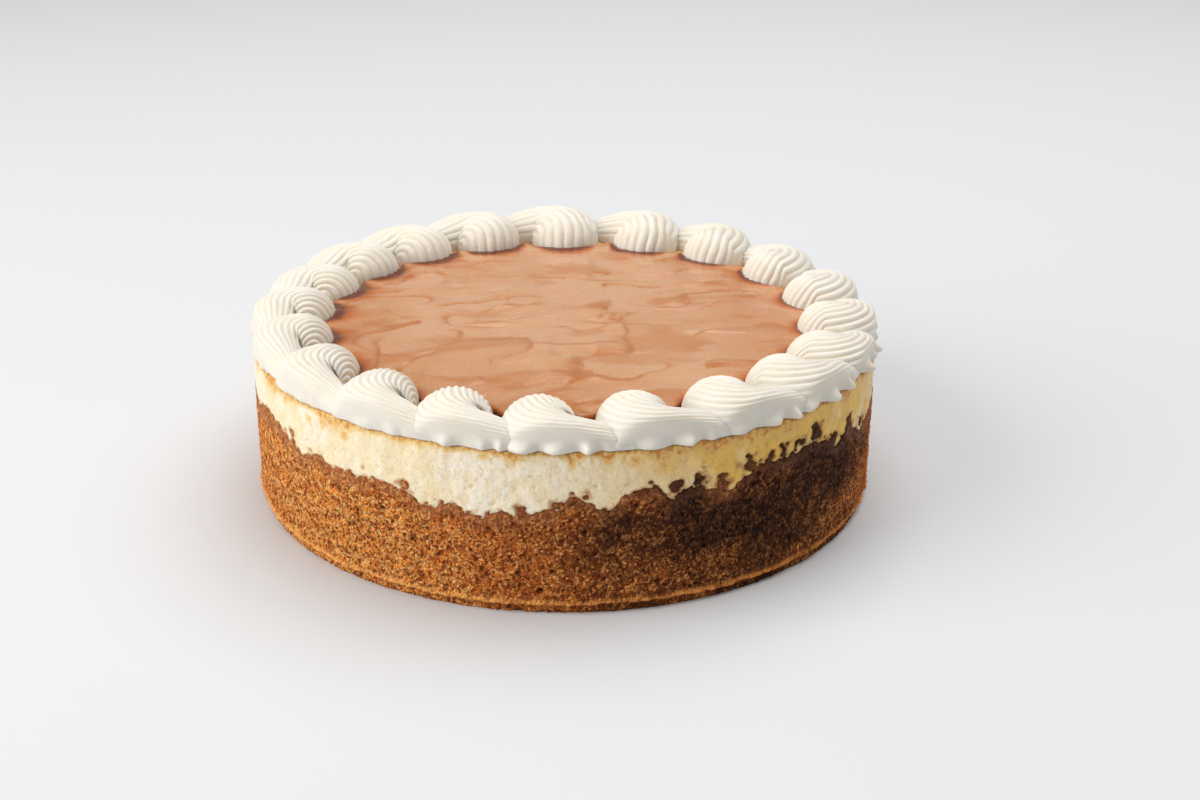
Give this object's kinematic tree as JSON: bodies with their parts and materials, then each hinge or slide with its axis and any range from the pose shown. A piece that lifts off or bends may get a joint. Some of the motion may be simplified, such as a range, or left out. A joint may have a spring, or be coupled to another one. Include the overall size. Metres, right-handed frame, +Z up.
{
  "type": "baked cheesecake",
  "caption": "Whole round baked cheesecake: biscuit-crumb crust up the side, set filling, caramel top and a ring of piped cream shells; to stand on a board or plate.",
  "frame": {"origin": "under the middle of the cake, on the surface it stands on", "axes": "+Z up; -Y towards the low stretch of the crumb edge; the cream shells run counterclockwise seen from above"},
  "size_m": [0.243, 0.243, 0.0764],
  "materials": {
    "crust": "baked biscuit crumb, coarse and matte",
    "filling": "set baked cream cheese, satin, pale yellow",
    "caramel": "soft caramel, glossy and slightly streaked",
    "cream": "piped cream, soft satin off-white"
  },
  "bodies": {
    "root": {"crust": "crust", "filling": "filling", "caramel": "caramel", "cream_shell_01": "cream", "cream_shell_02": "cream", "cream_shell_03": "cream", "cream_shell_04": "cream", "cream_shell_05": "cream", "cream_shell_06": "cream", "cream_shell_07": "cream", "cream_shell_08": "cream", "cream_shell_09": "cream", "cream_shell_10": "cream", "cream_shell_11": "cream", "cream_shell_12": "cream", "cream_shell_13": "cream", "cream_shell_14": "cream", "cream_shell_15": "cream", "cream_shell_16": "cream", "cream_shell_17": "cream", "cream_shell_18": "cream", "cream_shell_19": "cream", "cream_shell_20": "cream"}
  },
  "joints": []
}
